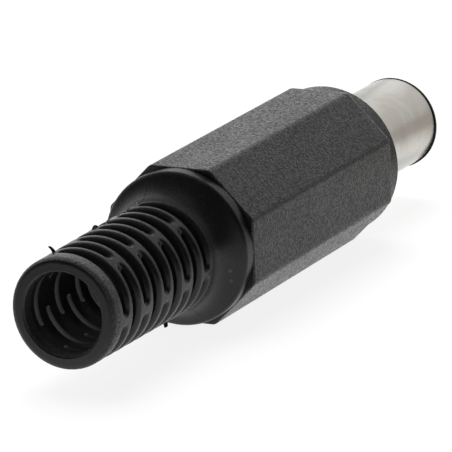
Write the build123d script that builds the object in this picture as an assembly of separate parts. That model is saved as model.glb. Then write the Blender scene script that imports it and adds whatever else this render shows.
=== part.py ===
"""DC barrel plug, 5.5 mm by 2.1 mm, with a screw-on handle and a slotted bending boot.

Sizes are in millimetres. The axis is X, with +X towards the barrel's tip, and Z is up.
The origin is on the axis at the barrel's root, on the front face of the sleeve's flange.
"""
import os

from build123d import *

# Mating sizes of the barrel and its centre contact
barrel_diameter = 5.5
barrel_length = 9.5
barrel_wall = 0.45
barrel_edge_chamfer = 0.08
pin_hole_depth = 8.2
insulator_wall = 0.85
contact_wall = 0.4

# Tip ring of the insulator
tip_ring_thickness = 0.28
tip_ring_setback = 0.03
tip_edge_round = 0.1
tip_lip = 0.15
tip_lead_in = 0.35
contact_setback = 0.5

# Saw slot and rivet tail of the contact
contact_slot_width = 0.4
contact_slot_length = 5.5
contact_edge_chamfer = 0.15
tail_diameter = 1.6
rivet_head_diameter = 2.4
rivet_head_height = 0.35
rivet_head_round = 0.2

# Flange, threaded shank and rolled lip of the sleeve
thread_diameter = 7.0
thread_length = 4.5
thread_chamfer = 0.3
relief_depth = 0.4
relief_width = 0.5
flange_step = 0.5
flange_thickness = 0.8
flange_chamfer = 0.15
rear_step = 0.4
rear_tube_wall = 0.25
lip_overhang = 0.35
lip_thickness = 0.3
lip_round = 0.12

# Stamped terminals and the rear bush
sheet = 0.4
bush_hub_length = 1.4
bush_flange_thickness = 0.5
bush_flange_diameter = 5.2
centre_disc_diameter = 3.8
centre_tag_width = 1.8
centre_tag_length = 5.0
solder_hole_diameter = 1.1
solder_hole_inset = 1.3
bend_radius = 0.25
strap_width = 2.6
strap_length = 7.4
clamp_length = 3.2
clamp_ear_height = 0.6
clamp_ear_round = 0.6
terminal_clearance = 0.4

# Handle: eight-sided grip between two round collars
front_wall = 0.47
flat_step = 0.03
grip_sides = 8
grip_length = 18.22
ridge_round = 0.5
grip_end_round = 0.12
front_collar_length = 1.1
front_collar_round = 0.14
flange_recess = 0.2
rear_collar_length = 0.63
rear_collar_round = 0.3
shoulder_length = 1.75
root_ring_length = 0.3

# Handle: hollow
thread_clearance = 0.05
flange_clearance = 0.05
thread_bore_extra = 0.7
cavity_length = 17.0
throat_length = 3.2

# Handle: slotted boot
cable_hole_diameter = 4.8
boot_wall = 0.8
boot_taper = 0.11
mouth_collar_length = 0.83
mouth_round = 0.34
mouth_chamfer = 0.12
slot_levels = 9
slots_per_level = 3
slot_floor_depth = 0.55
slot_floor_width = 0.4
slot_floor_round = 0.12
slot_outer_width = 0.6
slot_edge_round = 0.27
ring_crest = 0.05
bridge_angle = 38.5
tool_overrun = 1.0

# Radii that follow from the sizes above
barrel_radius = barrel_diameter / 2
barrel_bore = barrel_radius - barrel_wall
contact_radius = barrel_bore - insulator_wall
contact_bore = contact_radius - contact_wall
tail_radius = tail_diameter / 2
rivet_radius = rivet_head_diameter / 2
tip_mouth = contact_radius - tip_lip
tip_ring_radius = barrel_radius - tip_ring_setback
thread_radius = thread_diameter / 2
relief_radius = thread_radius - relief_depth
flange_radius = thread_radius + flange_step
rear_bore = barrel_bore - rear_step
rear_tube_radius = rear_bore + rear_tube_wall
lip_radius = rear_tube_radius + lip_overhang
bush_radius = bush_flange_diameter / 2
disc_radius = centre_disc_diameter / 2
terminal_radius = thread_radius - terminal_clearance
thread_bore = thread_radius + thread_clearance
flange_bore = flange_radius + flange_clearance
cavity_radius = thread_radius - thread_clearance
collar_radius = flange_bore + front_wall
grip_flat = collar_radius + flat_step
cable_hole = cable_hole_diameter / 2
boot_rear_radius = cable_hole + boot_wall
boot_front_radius = boot_rear_radius + boot_taper
slot_floor = cable_hole - slot_floor_depth

# Stations along the axis, from the barrel's tip to the mouth of the boot
metal_end = barrel_length - tip_ring_thickness
contact_end = barrel_length - contact_setback
pin_hole_end = contact_end - pin_hole_depth
handle_front = flange_recess
grip_front = handle_front - front_collar_length
relief_rear = -flange_thickness - relief_width
shank_rear = -flange_thickness - thread_length
ring_rear = shank_rear - sheet
lip_rear = ring_rear - lip_thickness
bush_front = lip_rear + bush_hub_length
bush_rear = lip_rear - bush_flange_thickness
disc_rear = bush_rear - sheet
rivet_rear = disc_rear - rivet_head_height
tag_end = bush_rear - centre_tag_length
clamp_front = ring_rear - strap_length
clamp_rear = clamp_front - clamp_length
thread_bore_rear = shank_rear - thread_bore_extra
cavity_rear = -cavity_length
throat_rear = cavity_rear - throat_length
grip_rear = grip_front - grip_length
collar_rear = grip_rear - rear_collar_length
cove_rear = collar_rear - shoulder_length
boot_front = cove_rear - root_ring_length
slot_pitch = slot_outer_width + 2 * slot_edge_round + ring_crest
slots_rear = boot_front - slot_levels * slot_pitch
mouth = slots_rear - mouth_collar_length


def turned(points):
    """Solid turned about X from its (station, radius) points."""
    return revolve(make_face(Polyline(*points, close=True)), Axis.X)


def drilled(front, rear, radius):
    """Round tool along X that cuts from one station back to another and a little past both."""
    return turned([
        (front + tool_overrun, 0),
        (front + tool_overrun, radius),
        (rear - tool_overrun, radius),
        (rear - tool_overrun, 0),
    ])


def folded(points, width):
    """Sheet folded in the XZ plane: a closed outline taken to both sides of the axis."""
    return extrude(Plane.XZ * make_face(Polyline(*points, close=True)), width / 2, both=True)


def disc(rear, radius):
    """Round blank of sheet metal whose rear face is at a station."""
    return Pos(rear, 0, 0) * extrude(Plane.YZ * Circle(radius), sheet)


def ring_edge(solid, station, radius):
    """Circular edge of a turned solid that lies nearest to a station and radius."""
    rings = solid.edges().filter_by(GeomType.CIRCLE)
    return min(rings, key=lambda e: abs(e.arc_center.X - station) + abs(e.radius - radius))


# Barrel sleeve: barrel, flange, shank and rolled lip turned in one
barrel_sleeve = turned([
    (metal_end, barrel_bore),
    (metal_end, barrel_radius - barrel_edge_chamfer),
    (metal_end - barrel_edge_chamfer, barrel_radius),
    (0, barrel_radius),
    (0, flange_radius - flange_chamfer),
    (-flange_chamfer, flange_radius),
    (-flange_thickness, flange_radius),
    (-flange_thickness, relief_radius),
    (relief_rear, relief_radius),
    (relief_rear, thread_radius - thread_chamfer),
    (relief_rear - thread_chamfer, thread_radius),
    (shank_rear + thread_chamfer, thread_radius),
    (shank_rear, thread_radius - thread_chamfer),
    (shank_rear, rear_tube_radius),
    (ring_rear, rear_tube_radius),
    (ring_rear, lip_radius),
    (lip_rear, lip_radius),
    (lip_rear, rear_bore),
    (bush_front, rear_bore),
    (bush_front, barrel_bore),
])
barrel_sleeve = fillet(ring_edge(barrel_sleeve, lip_rear, lip_radius), lip_round)

# Tip insulator: tube through the barrel with the ring that closes its end
tip_insulator = turned([
    (barrel_length, tip_mouth + tip_lead_in),
    (barrel_length, tip_ring_radius),
    (metal_end, tip_ring_radius),
    (metal_end, barrel_bore),
    (bush_front, barrel_bore),
    (bush_front, contact_radius),
    (contact_end, contact_radius),
    (contact_end, tip_mouth),
    (barrel_length - tip_lead_in, tip_mouth),
])
tip_insulator = fillet(ring_edge(tip_insulator, barrel_length, tip_ring_radius), tip_edge_round)

# Centre contact: tube with a saw slot across it, and a tail riveted over the terminal
centre_contact = turned([
    (contact_end, contact_bore + contact_edge_chamfer),
    (contact_end, contact_radius),
    (bush_front, contact_radius),
    (bush_front, tail_radius),
    (disc_rear, tail_radius),
    (disc_rear, rivet_radius),
    (rivet_rear, rivet_radius),
    (rivet_rear, 0),
    (pin_hole_end, 0),
    (pin_hole_end, contact_bore),
    (contact_end - contact_edge_chamfer, contact_bore),
])
centre_contact = fillet(ring_edge(centre_contact, rivet_rear, rivet_radius), rivet_head_round)
saw_cut = Box(2 * contact_slot_length, contact_slot_width, barrel_diameter)
centre_contact -= Pos(contact_end, 0, 0) * saw_cut

# Rear bush: hub in the sleeve's bore, flange between the lip and the centre terminal
rear_bush = turned([
    (bush_front, tail_radius),
    (bush_front, rear_bore),
    (lip_rear, rear_bore),
    (lip_rear, bush_radius),
    (bush_rear, bush_radius),
    (bush_rear, tail_radius),
])

# Centre terminal: disc on the tail and a solder tag folded back from it
centre_tag = folded([
    (bush_rear, 0),
    (bush_rear, disc_radius),
    (tag_end, disc_radius),
    (tag_end, disc_radius - sheet),
    (disc_rear, disc_radius - sheet),
    (disc_rear, 0),
], centre_tag_width)
tag_bend = centre_tag.edges().filter_by(Axis.Y).group_by(Axis.Z)[-1].sort_by(Axis.X)[-1]
centre_tag = fillet(tag_bend, bend_radius)
tag_corners = centre_tag.edges().filter_by(Axis.Z).group_by(Axis.X)[0]
centre_tag = fillet(tag_corners, centre_tag_width / 2 - bend_radius)
solder_hole = Cylinder(solder_hole_diameter / 2, centre_disc_diameter)
centre_tag -= Pos(tag_end + solder_hole_inset, 0, disc_radius) * solder_hole
centre_terminal = disc(disc_rear, disc_radius) + centre_tag
centre_terminal -= drilled(bush_rear, disc_rear, tail_radius)

# Sleeve terminal: ring under the lip, strap along the floor of the hollow and the cable clamp
strap = folded([
    (shank_rear, -rear_tube_radius),
    (shank_rear, -terminal_radius),
    (clamp_front, -terminal_radius),
    (clamp_front, sheet - terminal_radius),
    (ring_rear, sheet - terminal_radius),
    (ring_rear, -rear_tube_radius),
], strap_width)
strap_bend = strap.edges().filter_by(Axis.Y).group_by(Axis.Z)[0].sort_by(Axis.X)[-1]
strap = fillet(strap_bend, bend_radius)
clamp_section = Plane.YZ * (Circle(terminal_radius) - Circle(terminal_radius - sheet))
clamp = Pos(clamp_rear, 0, 0) * extrude(clamp_section, clamp_length)
above_ears = Box(2 * clamp_length, thread_diameter, thread_diameter)
clamp -= Pos(clamp_rear, 0, clamp_ear_height + thread_radius) * above_ears
ear_corners = clamp.edges().filter_by(Axis.Y).group_by(Axis.Z)[-1]
clamp = fillet(ear_corners, clamp_ear_round)
sleeve_terminal = disc(ring_rear, terminal_radius) + strap + clamp
sleeve_terminal -= drilled(shank_rear, ring_rear, rear_tube_radius)

# Handle: eight-sided grip with soft ridges, flat side up
octagon = RegularPolygon(grip_flat, grip_sides, major_radius=False, rotation=180 / grip_sides)
octagon = fillet(octagon.vertices(), ridge_round)
grip = Pos(grip_rear, 0, 0) * extrude(Plane.YZ * octagon, grip_length)
grip_ends = grip.faces().filter_by(Axis.X)
grip = fillet([edge for face in grip_ends for edge in face.edges()], grip_end_round)

# Handle: round core that shows as the two collars, cove behind the grip, and tapered boot.
# The cove and the rear collar's edge are two arcs that run into each other.
shoulder_rise = collar_radius - boot_front_radius
cove_round = (shoulder_length ** 2 + shoulder_rise ** 2) / (2 * shoulder_rise) - rear_collar_round
cove_share = cove_round / (cove_round + rear_collar_round)
cove_foot = (cove_rear, boot_front_radius)
cove_top = (cove_rear + cove_share * shoulder_length, boot_front_radius + cove_share * shoulder_rise)
collar_end = (collar_rear, collar_radius)
core_outline = Polyline(
    cove_foot,
    (mouth, boot_rear_radius),
    (mouth, 0),
    (handle_front, 0),
    (handle_front, collar_radius),
    collar_end,
)
cove = TangentArc(cove_foot, cove_top, tangent=(1, 0))
collar_edge = TangentArc(cove_top, collar_end, tangent=cove % 1)
core = revolve(make_face(core_outline + cove + collar_edge), Axis.X)
core = fillet(ring_edge(core, handle_front, collar_radius), front_collar_round)
core = fillet(ring_edge(core, mouth, boot_rear_radius), mouth_round)

# Handle: stepped hollow, from the flange's seat to the mouth
hollow = turned([
    (handle_front + tool_overrun, 0),
    (handle_front + tool_overrun, flange_bore),
    (-flange_thickness, flange_bore),
    (-flange_thickness, thread_bore),
    (thread_bore_rear, thread_bore),
    (thread_bore_rear, cavity_radius),
    (cavity_rear, cavity_radius),
    (throat_rear, cable_hole),
    (mouth + mouth_chamfer, cable_hole),
    (mouth, cable_hole + mouth_chamfer),
    (mouth - tool_overrun, cable_hole + mouth_chamfer),
    (mouth - tool_overrun, 0),
])

# Handle: straight drafted slots across the boot, turned by half a step from level to level
slot_top = boot_front_radius + tool_overrun
slot_draft = (slot_outer_width - slot_floor_width) / (boot_rear_radius - slot_floor)
slot_top_width = slot_floor_width + slot_draft * (slot_top - slot_floor)
slot_section = make_face(Polyline(
    (-slot_floor_width / 2, slot_floor),
    (slot_floor_width / 2, slot_floor),
    (slot_top_width / 2, slot_top),
    (-slot_top_width / 2, slot_top),
    close=True,
))
slot_section = fillet(slot_section.vertices().group_by(Axis.Y)[0], slot_floor_round)
slot = extrude(Plane.XZ * slot_section, slot_top, both=True)
slot_step = 360 / slots_per_level
slots = []
for level in range(slot_levels):
    station = boot_front - (level + 1 / 2) * slot_pitch
    first_slot = bridge_angle + (level % 2) * slot_step / 2
    for count in range(slots_per_level):
        slots.append(Pos(station, 0, 0) * Rot(X=first_slot + count * slot_step) * slot)

# Handle: soft edges where the slots break through the skin of the boot, so rings and bridges flow together
handle = grip + core
handle -= hollow
handle -= slots
boot_skin = handle.faces().filter_by(GeomType.CONE).sort_by(SortBy.AREA)[-1]
ends_and_seam = (GeomType.CIRCLE, GeomType.LINE)
slot_edges = [edge for edge in boot_skin.edges() if edge.geom_type not in ends_and_seam]
handle = fillet(slot_edges, slot_edge_round)

os.makedirs("parts", exist_ok=True)
export_step(handle, "parts/handle.step")
export_step(barrel_sleeve, "parts/barrel_sleeve.step")
export_step(tip_insulator, "parts/tip_insulator.step")
export_step(centre_contact, "parts/centre_contact.step")
export_step(rear_bush, "parts/rear_bush.step")
export_step(centre_terminal, "parts/centre_terminal.step")
export_step(sleeve_terminal, "parts/sleeve_terminal.step")
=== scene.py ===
from math import cos, hypot, pi, radians, sin, sqrt

import bpy
from mathutils import Matrix, Vector


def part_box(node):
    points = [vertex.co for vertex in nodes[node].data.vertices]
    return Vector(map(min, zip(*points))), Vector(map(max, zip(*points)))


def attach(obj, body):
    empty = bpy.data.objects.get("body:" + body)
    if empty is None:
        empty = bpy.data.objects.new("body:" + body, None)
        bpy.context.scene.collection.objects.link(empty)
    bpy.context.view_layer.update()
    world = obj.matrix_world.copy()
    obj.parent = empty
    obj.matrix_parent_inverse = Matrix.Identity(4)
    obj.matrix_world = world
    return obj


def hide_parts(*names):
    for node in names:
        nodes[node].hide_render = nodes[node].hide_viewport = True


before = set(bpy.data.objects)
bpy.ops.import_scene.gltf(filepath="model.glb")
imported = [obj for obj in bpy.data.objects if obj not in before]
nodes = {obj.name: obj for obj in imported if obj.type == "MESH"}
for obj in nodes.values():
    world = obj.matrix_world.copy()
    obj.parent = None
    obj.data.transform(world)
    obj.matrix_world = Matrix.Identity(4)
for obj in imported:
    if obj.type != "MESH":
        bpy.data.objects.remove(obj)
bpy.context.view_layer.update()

MM = 0.001

# Stations along the plug's axis, from the barrel's root, +X towards the tip
tip_end = 9.5 * MM
metal_end = 9.22 * MM
contact_end = 9.0 * MM
flange_rear = -0.8 * MM
relief_rear = -1.3 * MM
shank_rear = -5.3 * MM
ring_rear = -5.7 * MM
lip_rear = -6.0 * MM
bush_front = -4.6 * MM
grip_front = -0.9 * MM
grip_rear = -19.12 * MM
collar_rear = -19.75 * MM
cove_rear = -21.5 * MM
boot_front = -21.8 * MM
slots_rear = -32.51 * MM
mouth_end = -33.34 * MM

# Radii from the axis
barrel_radius = 2.75 * MM
barrel_bore = 2.3 * MM
contact_radius = 1.45 * MM
tip_mouth = 1.3 * MM
flange_radius = 4.0 * MM
relief_radius = 3.1 * MM
thread_radius = 3.5 * MM
rear_tube_radius = 2.15 * MM
rear_bore = 1.9 * MM
lip_radius = 2.5 * MM
collar_radius = 4.52 * MM
boot_radius = 3.31 * MM
cable_hole_radius = 2.4 * MM

# Rear collar's rounded edge, spacing of the boot's rings, and how far the boot narrows up to its mouth
collar_round = 0.3 * MM
slot_pitch = 1.19 * MM
boot_taper = 0.11 * MM

# Thread of the shank and of the handle, wound forward from behind the shank
thread_pitch = 0.75 * MM
thread_start = shank_rear - thread_pitch / 2
thread_bar_size = 0.4 * MM
thread_steps_per_turn = 80
shank_groove_radius = 3.12 * MM
shank_turns = 6
handle_ridge_radius = 3.2 * MM
handle_turns = 5.75

# The tip ring sits a little low on this plug, and stands out under the barrel
tip_ring_radius = 2.805 * MM
tip_ring_round = 0.16 * MM
tip_ring_shift = Vector((0, 0, -0.045)) * MM
tip_lead_in = 0.35 * MM

# The two halves of the mould met in one plane through the axis, on these sides of the handle
parting_top = radians(-22.5)
parting_low = radians(157.5)

# Camera: how it stands to the plug's axis, and how far away
image_width = 452
focal_pixels = 5333.8
camera_heading = radians(27.425)
camera_pitch = radians(15.92)
camera_roll = radians(-2.351)
camera_distance = 301.69 * MM
aim_right = 2.495 * MM
aim_up = 1.085 * MM
sensor_width = 36

# Points of a mesh that lie closer together than this are one point
same_point = 0.0005 * MM

table_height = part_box("handle")[0].z


def start_empty():
    """Nothing selected, so that the next operator acts on the new piece alone."""
    bpy.ops.object.select_all(action="DESELECT")


def pick(piece):
    start_empty()
    piece.select_set(True)
    bpy.context.view_layer.objects.active = piece


def shape(piece):
    """Goes into edit mode on one piece, with all of it selected."""
    pick(piece)
    bpy.ops.object.mode_set(mode="EDIT")
    bpy.ops.mesh.select_all(action="SELECT")


def shaped():
    bpy.ops.object.mode_set(mode="OBJECT")


def settle():
    """The piece's place goes into its mesh, and its object to the origin."""
    bpy.ops.object.transform_apply(location=True, rotation=True, scale=True)


def finish(piece, name, material, body):
    """Names the piece, gives it its finish and lets it ride on its body."""
    piece.name = name
    piece.data.name = name
    piece.data.materials.clear()
    piece.data.materials.append(material)
    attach(piece, body)
    return piece


def at_angle(station, radius, angle):
    """Point on the plug by its station, its distance from the axis and its angle from straight up."""
    return Vector((station, -radius * sin(angle), radius * cos(angle)))


# Helpers for shader trees


def new_group(name, inputs, outputs):
    group = bpy.data.node_groups.new(name, "ShaderNodeTree")
    for socket_name, kind in inputs:
        group.interface.new_socket(socket_name, in_out="INPUT", socket_type=kind)
    for socket_name, kind in outputs:
        group.interface.new_socket(socket_name, in_out="OUTPUT", socket_type=kind)
    return group, group.nodes.new("NodeGroupInput").outputs, group.nodes.new("NodeGroupOutput").inputs


def add(tree, kind, values=None, **settings):
    """New node in a tree; settings are its own, values are those of its unlinked inputs."""
    made = tree.nodes.new(kind)
    for name, setting in settings.items():
        setattr(made, name, setting)
    for name, value in (values or {}).items():
        made.inputs[name].default_value = value
    return made


def between(tree, value, low, high, to_low, to_high):
    """Soft step: to_low where the value is at or under low, to_high at or over high."""
    step = add(tree, "ShaderNodeMapRange",
               {"From Min": low, "From Max": high, "To Min": to_low, "To Max": to_high},
               interpolation_type="SMOOTHSTEP")
    tree.links.new(value, step.inputs["Value"])
    return step.outputs["Result"]


def rising(tree, value, low, high):
    """Mask that goes from 0 to 1 as the value goes from low to high."""
    return between(tree, value, low, high, 0.0, 1.0)


def falling(tree, value, low, high):
    """Mask that goes from 1 to 0 as the value goes from low to high."""
    return between(tree, value, low, high, 1.0, 0.0)


def from_mask(tree, mask, at_none, at_full):
    """Value that follows a mask, from what it is at 0 to what it is at 1."""
    return between(tree, mask, 0.0, 1.0, at_none, at_full)


def reckon(tree, operation, first, second):
    """One calculation on two values; each is a socket or a number."""
    made = add(tree, "ShaderNodeMath", operation=operation)
    for value, socket in ((first, made.inputs[0]), (second, made.inputs[1])):
        if isinstance(value, (int, float)):
            socket.default_value = value
        else:
            tree.links.new(value, socket)
    return made.outputs[0]


def weaker(tree, value, share):
    """A share of a value."""
    return reckon(tree, "MULTIPLY", value, share)


def blend_colour(tree, share, first, second):
    """Colour that goes from the first to the second as the share goes from 0 to 1."""
    made = add(tree, "ShaderNodeMix", data_type="RGBA")
    colours = [socket for socket in made.inputs if socket.type == "RGBA"]
    tree.links.new(share, made.inputs["Factor"])
    for value, socket in zip((first, second), colours):
        if isinstance(value, tuple):
            socket.default_value = (*value, 1)
        else:
            tree.links.new(value, socket)
    return [socket for socket in made.outputs if socket.type == "RGBA"][0]


# Node groups: effects that more than one finish uses


def eroded_grain():
    """Fine pits and peaks of a spark-eroded mould or of plating, as height and as tone."""
    group, inlet, outlet = new_group("eroded_grain",
                                     [("Place", "NodeSocketVector"),
                                      ("Grains per metre", "NodeSocketFloat")],
                                     [("Height", "NodeSocketFloat"), ("Tone", "NodeSocketFloat")])
    soft = add(group, "ShaderNodeTexNoise", {"Detail": 2.0, "Roughness": 0.6})
    pits = add(group, "ShaderNodeTexVoronoi", feature="F1")
    for texture in (soft, pits):
        group.links.new(inlet["Place"], texture.inputs["Vector"])
        group.links.new(inlet["Grains per metre"], texture.inputs["Scale"])
    shallow = weaker(group, pits.outputs["Distance"], share=0.5)
    group.links.new(reckon(group, "ADD", soft.outputs["Fac"], shallow), outlet["Height"])
    group.links.new(rising(group, soft.outputs["Fac"], low=0.35, high=0.65), outlet["Tone"])
    return group


def tool_lines():
    """Fine lines that a lathe tool or a rolling mill leaves, across one direction."""
    group, inlet, outlet = new_group("tool_lines",
                                     [("Across", "NodeSocketFloat"),
                                      ("Lines per metre", "NodeSocketFloat")],
                                     [("Height", "NodeSocketFloat"), ("Tone", "NodeSocketFloat")])
    lines = add(group, "ShaderNodeTexNoise", {"Detail": 4.0, "Roughness": 0.75}, noise_dimensions="1D")
    group.links.new(inlet["Across"], lines.inputs["W"])
    group.links.new(inlet["Lines per metre"], lines.inputs["Scale"])
    group.links.new(lines.outputs["Fac"], outlet["Height"])
    group.links.new(rising(group, lines.outputs["Fac"], low=0.25, high=0.75), outlet["Tone"])
    return group


def handling_smears():
    """Broad soft patches where fingers and cloths have passed."""
    group, inlet, outlet = new_group("handling_smears",
                                     [("Place", "NodeSocketVector"),
                                      ("Patches per metre", "NodeSocketFloat")],
                                     [("Smear", "NodeSocketFloat")])
    patches = add(group, "ShaderNodeTexNoise", {"Detail": 3.0, "Roughness": 0.5, "Distortion": 0.6})
    group.links.new(inlet["Place"], patches.inputs["Vector"])
    group.links.new(inlet["Patches per metre"], patches.inputs["Scale"])
    group.links.new(rising(group, patches.outputs["Fac"], low=0.35, high=0.68), outlet["Smear"])
    return group


def dust_specks():
    """A few small pale specks of dust or scuff, one in some of the cells."""
    group, inlet, outlet = new_group("dust_specks",
                                     [("Place", "NodeSocketVector"), ("Cells per metre", "NodeSocketFloat"),
                                      ("Empty share", "NodeSocketFloat")],
                                     [("Speck", "NodeSocketFloat")])
    cells = add(group, "ShaderNodeTexVoronoi", feature="F1")
    group.links.new(inlet["Place"], cells.inputs["Vector"])
    group.links.new(inlet["Cells per metre"], cells.inputs["Scale"])
    lot = add(group, "ShaderNodeSeparateColor")
    group.links.new(cells.outputs["Color"], lot.inputs["Color"])
    drawn = reckon(group, "GREATER_THAN", lot.outputs["Red"], inlet["Empty share"])
    spot = falling(group, cells.outputs["Distance"], low=0.05, high=0.16)
    group.links.new(reckon(group, "MULTIPLY", drawn, spot), outlet["Speck"])
    return group


grain_group = eroded_grain()
lines_group = tool_lines()
smears_group = handling_smears()
specks_group = dust_specks()


# Finishes


def use_group(tree, group, links, values):
    """Places a group in a material, with its linked inputs and its own values."""
    made = add(tree, "ShaderNodeGroup", node_tree=group)
    for name, socket in links.items():
        tree.links.new(socket, made.inputs[name])
    for name, value in values.items():
        made.inputs[name].default_value = value
    return made.outputs


def new_material(name):
    material = bpy.data.materials.new(name)
    material.use_nodes = True
    tree = material.node_tree
    place = add(tree, "ShaderNodeTexCoord").outputs["Object"]
    return material, tree, tree.nodes["Principled BSDF"].inputs, place


def parts_of(tree, place):
    """The three coordinates of a place: X is the station along the axis, Y points left and Z up."""
    apart = add(tree, "ShaderNodeSeparateXYZ")
    tree.links.new(place, apart.inputs[0])
    return apart.outputs


def from_axis(tree, place):
    """Distance from the plug's axis."""
    parts = parts_of(tree, place)
    flat = add(tree, "ShaderNodeCombineXYZ")
    tree.links.new(parts["Y"], flat.inputs["Y"])
    tree.links.new(parts["Z"], flat.inputs["Z"])
    radius = add(tree, "ShaderNodeVectorMath", operation="LENGTH")
    tree.links.new(flat.outputs[0], radius.inputs[0])
    return radius.outputs["Value"]


def raise_surface(tree, shader, height, depth, strength):
    bump = add(tree, "ShaderNodeBump", {"Distance": depth, "Strength": strength})
    tree.links.new(height, bump.inputs["Height"])
    tree.links.new(bump.outputs["Normal"], shader["Normal"])


def near_point(tree, place, point, reach):
    """Small spot around one point of a piece."""
    gap = add(tree, "ShaderNodeVectorMath", operation="DISTANCE")
    gap.inputs[1].default_value = point
    tree.links.new(place, gap.inputs[0])
    return falling(tree, gap.outputs["Value"], reach / 2, reach)


def handle_zones(tree, place):
    """Masks of mouth collar, bore, slot walls and front edge of the handle, and the relief of its grain."""
    soft_edge = 0.03 * MM
    smooth_relief = 0.2
    cove_relief = 0.25
    station = parts_of(tree, place)["X"]
    radius = from_axis(tree, place)
    on_grip = rising(tree, station, grip_rear - soft_edge, grip_rear + soft_edge)
    ahead_of_collar = rising(tree, station, slots_rear - 2 * soft_edge, slots_rear + 2 * soft_edge)
    past_mouth_face = rising(tree, station, mouth_end + 0.03 * MM, mouth_end + 0.08 * MM)
    mouth_collar = reckon(tree, "SUBTRACT", past_mouth_face, ahead_of_collar)
    in_bore = falling(tree, radius, cable_hole_radius + 0.02 * MM, cable_hole_radius + 0.1 * MM)
    near_bore = falling(tree, radius, cable_hole_radius + 0.3 * MM, cable_hole_radius + 0.45 * MM)
    slot_walls = reckon(tree, "SUBTRACT", reckon(tree, "MULTIPLY", near_bore, ahead_of_collar), in_bore)
    textured = reckon(tree, "MAXIMUM", on_grip, mouth_collar)
    on_cove = between(tree, station, boot_front, boot_front + 0.3 * MM, 0.0, cove_relief)
    relief = reckon(tree, "MAXIMUM", from_mask(tree, textured, smooth_relief, 1.0), on_cove)
    at_front = rising(tree, station, grip_front - 0.2 * MM, grip_front - 0.12 * MM)
    above_collar = rising(tree, radius, collar_radius + 0.005 * MM, collar_radius + 0.02 * MM)
    front_edge = reckon(tree, "MULTIPLY", at_front, above_collar)
    return mouth_collar, in_bore, slot_walls, front_edge, relief


def moulded_plastic():
    """Black handle: eroded grain on grip, collars and mouth, nearly smooth cove and boot; painted light in
    the bore, slots and front edge.
    """
    skin_black = (0.01, 0.01, 0.0102)
    pit_grey = (0.066, 0.066, 0.0665)
    # Paler greys for the bore and the slot walls are painted light, standing in for light that comes in
    # through the slots.
    bore_painted_light_grey = (0.06, 0.06, 0.0603)
    slot_wall_painted_light_grey = (0.22, 0.22, 0.221)
    chalk_grey = (0.16, 0.16, 0.161)
    smear_black = (0.03, 0.03, 0.03)
    # Painted highlight: pale grey for the line along the grip's front edge.
    edge_highlight_grey = (0.28, 0.28, 0.28)
    scuff_grey = (0.3, 0.3, 0.295)
    middle_tone = 0.4
    pit_roughness = 0.2
    peak_roughness = 0.45
    upper_nick = (Vector((-20.39, -3.68, -0.81)) * MM, 0.14 * MM)
    lower_nick = (Vector((-20.26, -3.64, -1.43)) * MM, 0.12 * MM)
    material, tree, shader, place = new_material("moulded_plastic")
    mouth_collar, in_bore, slot_walls, front_edge, relief = handle_zones(tree, place)
    grain = use_group(tree, grain_group, {"Place": place}, {"Grains per metre": 8000.0})
    fine_grain = use_group(tree, grain_group, {"Place": place}, {"Grains per metre": 11000.0})
    smears = use_group(tree, smears_group, {"Place": place}, {"Patches per metre": 260.0})
    specks = use_group(tree, specks_group, {"Place": place},
                       {"Cells per metre": 1300.0, "Empty share": 0.965})
    height = reckon(tree, "MULTIPLY", grain["Height"], relief)
    raise_surface(tree, shader, height, depth=0.032 * MM, strength=0.8)

    pits = reckon(tree, "MULTIPLY", reckon(tree, "SUBTRACT", 1.0, grain["Tone"]), relief)
    toned = blend_colour(tree, pits, skin_black, pit_grey)
    # Painted light: the bore and the slot walls are made paler, as if lit through the slots.
    bore_painted_light = blend_colour(tree, in_bore, toned, bore_painted_light_grey)
    slot_walls_painted_light = blend_colour(tree, slot_walls, bore_painted_light, slot_wall_painted_light_grey)
    chalk_grain = from_mask(tree, fine_grain["Tone"], at_none=0.25, at_full=0.9)
    chalk = reckon(tree, "MULTIPLY", mouth_collar, chalk_grain)
    chalky = blend_colour(tree, chalk, slot_walls_painted_light, chalk_grey)
    smeared = blend_colour(tree, weaker(tree, smears["Smear"], share=0.2), chalky, smear_black)
    # Painted highlight along the grip's front edge, broken up by fine grain.
    edge_highlight_grain = from_mask(tree, fine_grain["Tone"], at_none=0.3, at_full=1.0)
    edge_highlight = reckon(tree, "MULTIPLY", front_edge, edge_highlight_grain)
    edge_highlighted = blend_colour(tree, edge_highlight, smeared, edge_highlight_grey)
    nicks = reckon(tree, "MAXIMUM", near_point(tree, place, *upper_nick),
                   near_point(tree, place, *lower_nick))
    scuffs = reckon(tree, "MAXIMUM", weaker(tree, specks["Speck"], share=0.25), nicks)
    tree.links.new(blend_colour(tree, scuffs, edge_highlighted, scuff_grey), shader["Base Color"])

    uneven = reckon(tree, "MULTIPLY", reckon(tree, "SUBTRACT", grain["Tone"], middle_tone), relief)
    grained = between(tree, uneven, -middle_tone, 1 - middle_tone, pit_roughness, peak_roughness)
    handled = reckon(tree, "ADD", grained, weaker(tree, smears["Smear"], share=0.05))
    dulled = reckon(tree, "ADD", handled, weaker(tree, mouth_collar, share=0.16))
    tree.links.new(dulled, shader["Roughness"])
    return material


def highlit_flash():
    """Thin plastic that tore at the mould's parting line; rough, with pale grain that is a painted
    highlight.
    """
    whole_black = (0.03, 0.03, 0.03)
    painted_highlight_grey = (0.26, 0.26, 0.257)
    material, tree, shader, place = new_material("highlit_flash")
    grain = use_group(tree, grain_group, {"Place": place}, {"Grains per metre": 12000.0})
    raise_surface(tree, shader, grain["Height"], depth=0.02 * MM, strength=0.6)
    # Painted highlight: pale grain stands in for light caught by the fins' torn edges.
    tree.links.new(blend_colour(tree, grain["Tone"], whole_black, painted_highlight_grey), shader["Base Color"])
    tree.links.new(from_mask(tree, grain["Tone"], at_none=0.45, at_full=0.65), shader["Roughness"])
    return material


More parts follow.
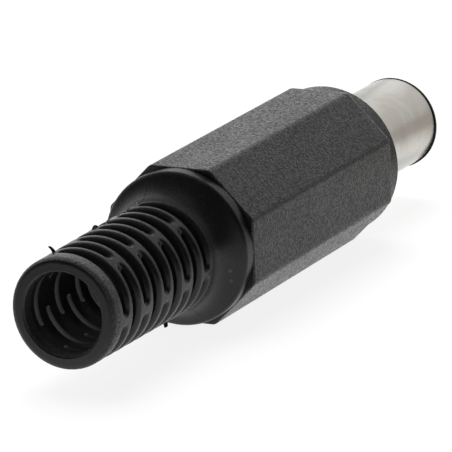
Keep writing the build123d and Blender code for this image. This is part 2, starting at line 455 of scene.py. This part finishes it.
def satin_nickel():
    """Nickel plate on turned brass: lines round the axis, faintly warm patches, fine plating grain."""
    plate = (0.7, 0.68, 0.632)
    warm_plate = (0.61, 0.57, 0.505)
    line_grey = (0.52, 0.5, 0.455)
    spot_brown = (0.35, 0.3, 0.25)
    material, tree, shader, place = new_material("satin_nickel")
    station = parts_of(tree, place)["X"]
    lines = use_group(tree, lines_group, {"Across": station}, {"Lines per metre": 9000.0})
    grain = use_group(tree, grain_group, {"Place": place}, {"Grains per metre": 14000.0})
    smears = use_group(tree, smears_group, {"Place": place}, {"Patches per metre": 330.0})
    specks = use_group(tree, specks_group, {"Place": place},
                       {"Cells per metre": 1100.0, "Empty share": 0.97})
    height = reckon(tree, "ADD", lines["Height"], weaker(tree, grain["Height"], share=0.5))
    raise_surface(tree, shader, height, depth=0.0012 * MM, strength=0.4)
    shader["Metallic"].default_value = 1.0
    patched = blend_colour(tree, smears["Smear"], plate, warm_plate)
    lined = blend_colour(tree, weaker(tree, lines["Tone"], share=0.3), patched, line_grey)
    spotted = blend_colour(tree, weaker(tree, specks["Speck"], share=0.3), lined, spot_brown)
    tree.links.new(spotted, shader["Base Color"])
    gloss = reckon(tree, "ADD", from_mask(tree, lines["Tone"], at_none=0.17, at_full=0.22),
                   weaker(tree, smears["Smear"], share=0.06))
    tree.links.new(gloss, shader["Roughness"])
    return material


def smooth_insulator():
    """Black insulating plastic from a polished mould, a little dusty."""
    deep_black = (0.007, 0.007, 0.0072)
    worn_black = (0.014, 0.014, 0.014)
    dust_grey = (0.14, 0.14, 0.135)
    material, tree, shader, place = new_material("smooth_insulator")
    grain = use_group(tree, grain_group, {"Place": place}, {"Grains per metre": 5000.0})
    smears = use_group(tree, smears_group, {"Place": place}, {"Patches per metre": 400.0})
    specks = use_group(tree, specks_group, {"Place": place},
                       {"Cells per metre": 2500.0, "Empty share": 0.95})
    raise_surface(tree, shader, grain["Height"], depth=0.004 * MM, strength=0.3)
    toned = blend_colour(tree, grain["Tone"], deep_black, worn_black)
    dust = weaker(tree, specks["Speck"], share=0.2)
    tree.links.new(blend_colour(tree, dust, toned, dust_grey), shader["Base Color"])
    shader["Specular IOR Level"].default_value = 0.25
    tree.links.new(from_mask(tree, smears["Smear"], at_none=0.38, at_full=0.5), shader["Roughness"])
    return material


def bright_tin():
    """Tin plate on rolled brass sheet: lines along the sheet, pale flowers of tin, dull patches."""
    tin_grey = (0.72, 0.71, 0.68)
    flower_grey = (0.8, 0.79, 0.77)
    dull_grey = (0.56, 0.54, 0.5)
    material, tree, shader, place = new_material("bright_tin")
    parts = parts_of(tree, place)
    across = reckon(tree, "ADD", parts["Y"], parts["Z"])
    lines = use_group(tree, lines_group, {"Across": across}, {"Lines per metre": 7000.0})
    grain = use_group(tree, grain_group, {"Place": place}, {"Grains per metre": 6000.0})
    smears = use_group(tree, smears_group, {"Place": place}, {"Patches per metre": 500.0})
    flowers = add(tree, "ShaderNodeTexVoronoi", {"Scale": 1400.0}, feature="F1")
    tree.links.new(place, flowers.inputs["Vector"])
    flower_tone = add(tree, "ShaderNodeSeparateColor")
    tree.links.new(flowers.outputs["Color"], flower_tone.inputs["Color"])
    height = reckon(tree, "ADD", lines["Height"], weaker(tree, grain["Height"], share=0.6))
    raise_surface(tree, shader, height, depth=0.003 * MM, strength=0.5)
    shader["Metallic"].default_value = 1.0
    bloom = blend_colour(tree, flower_tone.outputs["Red"], tin_grey, flower_grey)
    dulled = blend_colour(tree, weaker(tree, smears["Smear"], share=0.5), bloom, dull_grey)
    tree.links.new(dulled, shader["Base Color"])
    flower_gloss = from_mask(tree, flower_tone.outputs["Green"], at_none=0.22, at_full=0.32)
    gloss = reckon(tree, "ADD", flower_gloss, weaker(tree, smears["Smear"], share=0.1))
    tree.links.new(gloss, shader["Roughness"])
    return material


plastic = moulded_plastic()
flash_plastic = highlit_flash()
nickel = satin_nickel()
insulator = smooth_insulator()
tin = bright_tin()


def dress_node(name, material):
    """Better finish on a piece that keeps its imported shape."""
    nodes[name].data.materials.clear()
    nodes[name].data.materials.append(material)


dress_node("handle", plastic)
dress_node("centre_contact", nickel)
dress_node("rear_bush", insulator)
dress_node("centre_terminal", tin)
dress_node("sleeve_terminal", tin)


# New pieces


def drawn_in_rings(outline, around):
    """Closed turned piece: one ring of points drawn along its outline, back to where it began."""
    station, radius = outline[0]
    start_empty()
    bpy.ops.mesh.primitive_circle_add(vertices=around, radius=radius, location=(station, 0, 0),
                                      rotation=(0, pi / 2, 0))
    piece = bpy.context.object
    settle()
    shape(piece)
    for next_station, next_radius in [*outline[1:], outline[0]]:
        wider = next_radius / radius
        bpy.ops.mesh.extrude_region_move(TRANSFORM_OT_translate={"value": (next_station - station, 0, 0)})
        bpy.ops.transform.resize(value=(1, wider, wider), center_override=(next_station, 0, 0))
        station, radius = next_station, next_radius
    bpy.ops.mesh.select_all(action="SELECT")
    bpy.ops.mesh.remove_doubles(threshold=same_point)
    bpy.ops.mesh.normals_make_consistent(inside=False)
    shaped()
    return piece


def ease_edges(piece, width):
    """Breaks the sharp edges of a turned piece, as real ones are."""
    pick(piece)
    ease = piece.modifiers.new("ease_edges", "BEVEL")
    ease.width = width
    ease.segments = 2
    ease.limit_method = "ANGLE"
    ease.angle_limit = radians(35)
    bpy.ops.object.modifier_apply(modifier=ease.name)


def wound_bar(turns, point_radius):
    """Three-sided bar with its point towards the axis, wound forward along the thread from its start."""
    start_empty()
    bpy.ops.mesh.primitive_circle_add(vertices=3, radius=thread_bar_size, fill_type="NGON",
                                      location=(thread_start, 0, point_radius + thread_bar_size),
                                      rotation=(-pi / 2, 0, 0))
    bar = bpy.context.object
    settle()
    wind = bar.modifiers.new("wind", "SCREW")
    wind.axis = "X"
    wind.angle = 2 * pi * turns
    wind.screw_offset = thread_pitch * turns
    wind.steps = round(thread_steps_per_turn * turns)
    wind.render_steps = wind.steps
    bpy.ops.object.modifier_apply(modifier=wind.name)
    shape(bar)
    bpy.ops.mesh.remove_doubles(threshold=same_point)
    bpy.ops.mesh.fill_holes(sides=3)
    bpy.ops.mesh.normals_make_consistent(inside=False)
    shaped()
    return bar


def turned_sleeve():
    """Barrel, flange, relief groove, plain shank and rolled lip, turned in one."""
    tip_chamfer = 0.08 * MM
    flange_chamfer = 0.15 * MM
    thread_chamfer = 0.3 * MM
    sleeve = drawn_in_rings([
        (metal_end, barrel_bore),
        (metal_end, barrel_radius - tip_chamfer),
        (metal_end - tip_chamfer, barrel_radius),
        (0, barrel_radius),
        (0, flange_radius - flange_chamfer),
        (-flange_chamfer, flange_radius),
        (flange_rear, flange_radius),
        (flange_rear, relief_radius),
        (relief_rear, relief_radius),
        (relief_rear, thread_radius - thread_chamfer),
        (relief_rear - thread_chamfer, thread_radius),
        (shank_rear + thread_chamfer, thread_radius),
        (shank_rear, thread_radius - thread_chamfer),
        (shank_rear, rear_tube_radius),
        (ring_rear, rear_tube_radius),
        (ring_rear, lip_radius),
        (lip_rear, lip_radius),
        (lip_rear, rear_bore),
        (bush_front, rear_bore),
        (bush_front, barrel_bore),
    ], around=144)
    ease_edges(sleeve, 0.03 * MM)
    return sleeve


def threaded_sleeve():
    """The turned sleeve with the thread cut into its shank."""
    sleeve = turned_sleeve()
    bar = wound_bar(shank_turns, shank_groove_radius)
    pick(sleeve)
    cut = sleeve.modifiers.new("cut_thread", "BOOLEAN")
    cut.operation = "DIFFERENCE"
    cut.solver = "EXACT"
    cut.object = bar
    bpy.ops.object.modifier_apply(modifier=cut.name)
    bpy.data.objects.remove(bar)
    shape(sleeve)
    bpy.ops.mesh.remove_doubles(threshold=0.002 * MM)
    bpy.ops.mesh.dissolve_degenerate(threshold=0.001 * MM)
    shaped()
    bpy.ops.object.shade_smooth_by_angle(angle=radians(25))
    finish(sleeve, "threaded_sleeve", nickel, "plug")
    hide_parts("barrel_sleeve")


def handle_thread():
    """Thread ridge inside the front of the handle, which runs in the groove of the shank."""
    ridge = wound_bar(handle_turns, handle_ridge_radius)
    bpy.ops.object.shade_smooth_by_angle(angle=radians(30))
    finish(ridge, "handle_thread", plastic, "handle_body")


def tip_insulator():
    """Insulating tube in the barrel, and the ring that closes its end, which was moulded a little low."""
    arc_middle = tip_ring_round * 0.3
    ring_inside = barrel_bore + 0.1 * MM
    bushing = drawn_in_rings([
        (tip_end, tip_mouth + tip_lead_in),
        (tip_end, tip_ring_radius - tip_ring_round),
        (tip_end - arc_middle, tip_ring_radius - arc_middle),
        (tip_end - tip_ring_round, tip_ring_radius),
        (metal_end, tip_ring_radius),
        (metal_end, barrel_bore),
        (bush_front, barrel_bore),
        (bush_front, contact_radius),
        (contact_end, contact_radius),
        (contact_end, tip_mouth),
        (tip_end - tip_lead_in, tip_mouth),
    ], around=96)
    shape(bushing)
    bpy.ops.mesh.select_all(action="DESELECT")
    shaped()
    for corner in bushing.data.vertices:
        corner.select = hypot(corner.co.y, corner.co.z) > ring_inside
    bpy.ops.object.mode_set(mode="EDIT")
    bpy.ops.transform.translate(value=tip_ring_shift)
    shaped()
    bpy.ops.object.shade_smooth_by_angle(angle=radians(30))
    finish(bushing, "tip_bushing", insulator, "plug")
    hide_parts("tip_insulator")


def grown_along(name, points, thickness, shrink, material):
    """Thin bit of plastic grown from point to point, scaled by shrink at each, and rounded."""
    start_empty()
    bpy.ops.mesh.primitive_circle_add(vertices=8, radius=thickness, fill_type="NGON", location=points[0])
    bit = bpy.context.object
    first_step = points[1] - points[0]
    bit.rotation_euler = first_step.to_track_quat("Z", "Y").to_euler()
    settle()
    shape(bit)
    for start, end in zip(points, points[1:]):
        bpy.ops.mesh.extrude_region_move(TRANSFORM_OT_translate={"value": end - start})
        bpy.ops.transform.resize(value=(shrink, shrink, shrink), center_override=end)
    bpy.ops.mesh.select_all(action="SELECT")
    bpy.ops.mesh.normals_make_consistent(inside=False)
    shaped()
    rounding = bit.modifiers.new("rounding", "SUBSURF")
    rounding.levels = 2
    rounding.render_levels = 2
    bpy.ops.object.modifier_apply(modifier=rounding.name)
    bpy.ops.object.shade_smooth()
    return finish(bit, name, material, "handle_body")


def on_parting(angle, points):
    """Points on one side of the parting plane, from stations and distances from the axis in millimetres."""
    return [at_angle(station * MM, radius * MM, angle) for station, radius in points]


def flash_bits():
    """What the mould left standing on the boot: a curled whisker and two small nubs."""
    whisker = on_parting(parting_top, [(-31.66, 2.95), (-31.7, 3.12), (-31.71, 3.27),
                                       (-31.77, 3.41), (-31.86, 3.54), (-31.99, 3.64)])
    top_nub = on_parting(parting_top, [(-27.45, 3.06), (-27.15, 3.24), (-26.88, 3.37),
                                       (-26.72, 3.36), (-26.6, 3.12)])
    low_nub = on_parting(parting_low, [(-23.88, 3.2), (-23.9, 3.38), (-23.97, 3.52), (-24.0, 3.58)])
    grown_along("flash_whisker", whisker, thickness=0.15 * MM, shrink=0.86, material=plastic)
    grown_along("flash_nub_top", top_nub, thickness=0.11 * MM, shrink=0.97, material=plastic)
    grown_along("flash_nub_low", low_nub, thickness=0.17 * MM, shrink=0.88, material=plastic)


def flash_fins():
    """Torn fin that the parting line left over each of the foremost ring crests, made once and copied."""
    crests = 4
    over_crest = [(-0.42, -0.3), (-0.3, -0.12), (-0.14, 0.0), (0.02, 0.05),
                  (0.2, 0.0), (0.34, -0.12), (0.44, -0.3)]
    points = [at_angle(boot_front + ahead * MM, boot_radius + rise * MM, parting_top)
              for ahead, rise in over_crest]
    first = grown_along("flash_fin_1", points, thickness=0.06 * MM, shrink=0.97, material=flash_plastic)
    crest_fall = boot_taper * slot_pitch / (boot_front - mouth_end)
    for count in range(1, crests):
        pick(first)
        bpy.ops.object.duplicate()
        fin = bpy.context.object
        shape(fin)
        bpy.ops.transform.translate(value=at_angle(-slot_pitch * count, -crest_fall * count, parting_top))
        shaped()
        finish(fin, f"flash_fin_{count + 1}", flash_plastic, "handle_body")


def cove_radius(station):
    """Distance from the axis of the cove's hollow curve, and of the collar's rounded edge above it."""
    length = collar_rear - cove_rear
    rise = collar_radius - boot_radius
    hollow_round = (length ** 2 + rise ** 2) / (2 * rise) - collar_round
    turn = cove_rear + length * hollow_round / (hollow_round + collar_round)
    if station > turn:
        return collar_radius - collar_round + sqrt(collar_round ** 2 - (collar_rear - station) ** 2)
    return boot_radius + hollow_round - sqrt(hollow_round ** 2 - (station - cove_rear) ** 2)


def parting_seams():
    """Fine raised line down the cove where the two halves of the mould met, on both sides."""
    steps = 10
    sunk = 0.005 * MM
    stations = [cove_rear + (collar_rear - cove_rear) * step / steps for step in range(steps + 1)]
    for name, angle in (("parting_seam_top", parting_top), ("parting_seam_low", parting_low)):
        points = [at_angle(station, cove_radius(station) - sunk, angle) for station in stations]
        grown_along(name, points, thickness=0.022 * MM, shrink=1.0, material=plastic)


threaded_sleeve()
handle_thread()
tip_insulator()
flash_bits()
flash_fins()
parting_seams()


# Table, light and camera


def white_table():
    """White table that takes the plug's shadow; the plug mirrors it pale, but dim ahead to the right."""
    seen_white = (1.0, 1.0, 1.0)
    unlit = (0.0, 0.0, 0.0)
    mirrored_dim = (0.24, 0.2, 0.175)
    mirrored_pale = (0.94, 0.94, 0.94)
    dim_heading = radians(31)
    material, tree, shader, place = new_material("white_table")
    parts = parts_of(tree, place)
    ahead_right = reckon(tree, "SUBTRACT", reckon(tree, "MULTIPLY", parts["X"], cos(dim_heading)),
                         reckon(tree, "MULTIPLY", parts["Y"], sin(dim_heading)))
    not_ahead = between(tree, ahead_right, low=14 * MM, high=38 * MM, to_low=1.0, to_high=0.2)
    on_left = rising(tree, parts["Y"], low=-4 * MM, high=8 * MM)
    not_right = between(tree, parts["Y"], low=-7 * MM, high=-1 * MM, to_low=0.7, to_high=1.0)
    not_behind = between(tree, parts["X"], low=-48 * MM, high=-36 * MM, to_low=0.3, to_high=1.0)
    pale = reckon(tree, "MULTIPLY", reckon(tree, "MULTIPLY", not_right, not_behind),
                  reckon(tree, "MAXIMUM", not_ahead, on_left))
    path = add(tree, "ShaderNodeLightPath").outputs
    mirrored = blend_colour(tree, pale, mirrored_dim, mirrored_pale)
    lit = blend_colour(tree, path["Is Glossy Ray"], unlit, mirrored)
    seen = reckon(tree, "MAXIMUM", path["Is Camera Ray"], path["Is Transmission Ray"])
    tree.links.new(blend_colour(tree, seen, lit, seen_white), shader["Emission Color"])
    shader["Emission Strength"].default_value = 0.86
    shader["Base Color"].default_value = (0.2, 0.2, 0.2, 1)
    shader["Roughness"].default_value = 0.9
    return material


def lay_table():
    start_empty()
    bpy.ops.mesh.primitive_plane_add(size=4.0, location=(0, 0, table_height))
    table = bpy.context.object
    table.name = "table"
    table.data.materials.append(white_table())


def light_room():
    """Pale wall ahead and to the left, dark behind the camera and overhead; seen directly, all is white."""
    wall_heading = radians(30)
    wall_falloff = 1.3
    wall_glow = 0.92
    dark_glow = 0.05
    overhead_share = 0.1
    world = bpy.data.worlds.new("studio")
    bpy.context.scene.world = world
    world.use_nodes = True
    tree = world.node_tree
    background = tree.nodes["Background"].inputs
    background["Color"].default_value = (1, 1, 1, 1)
    direction = add(tree, "ShaderNodeTexCoord").outputs["Generated"]
    facing = add(tree, "ShaderNodeVectorMath", operation="DOT_PRODUCT")
    facing.inputs[1].default_value = (cos(wall_heading), sin(wall_heading), 0)
    tree.links.new(direction, facing.inputs[0])
    ahead = reckon(tree, "POWER", reckon(tree, "MAXIMUM", facing.outputs["Value"], 0.0), wall_falloff)
    pale = reckon(tree, "ADD", reckon(tree, "MULTIPLY", ahead, wall_glow), dark_glow)
    height = parts_of(tree, direction)["Z"]
    overhead = between(tree, height, low=0.55, high=0.85, to_low=1.0, to_high=overhead_share)
    glow = reckon(tree, "MULTIPLY", pale, overhead)
    path = add(tree, "ShaderNodeLightPath").outputs
    tree.links.new(reckon(tree, "MAXIMUM", glow, path["Is Camera Ray"]), background["Strength"])


def hang_softbox():
    place = Vector((0.12, 0.12, 0.4))
    aim = Vector((-0.012, 0, 0))
    bpy.ops.object.light_add(type="AREA", location=place)
    lamp = bpy.context.object
    lamp.name = "overhead_softbox"
    lamp.data.size = 0.35
    lamp.data.energy = 2.0
    lamp.rotation_euler = (aim - place).to_track_quat("-Z", "Y").to_euler()
    lamp.visible_glossy = False


def place_camera():
    """Camera behind the boot, to the right and above."""
    forward = Vector((cos(camera_heading), sin(camera_heading), 0))
    side = Vector((sin(camera_heading), -cos(camera_heading), 0))
    up = Vector((0, 0, 1))
    look = forward * cos(camera_pitch) - up * sin(camera_pitch)
    rise = up * cos(camera_pitch) + forward * sin(camera_pitch)
    right = side * cos(camera_roll) + rise * sin(camera_roll)
    top = rise * cos(camera_roll) - side * sin(camera_roll)
    place = Vector((grip_rear, 0, 0)) - look * camera_distance + right * aim_right + top * aim_up
    bpy.ops.object.camera_add()
    camera = bpy.context.object
    camera.matrix_world = Matrix.Translation(place) @ Matrix((right, top, -look)).transposed().to_4x4()
    camera.data.sensor_width = sensor_width
    camera.data.lens = focal_pixels / image_width * sensor_width
    camera.data.clip_start = camera_distance / 10
    camera.data.clip_end = camera_distance * 100
    bpy.context.scene.camera = camera


lay_table()
light_room()
hang_softbox()
place_camera()
bpy.context.scene.view_settings.view_transform = "Standard"
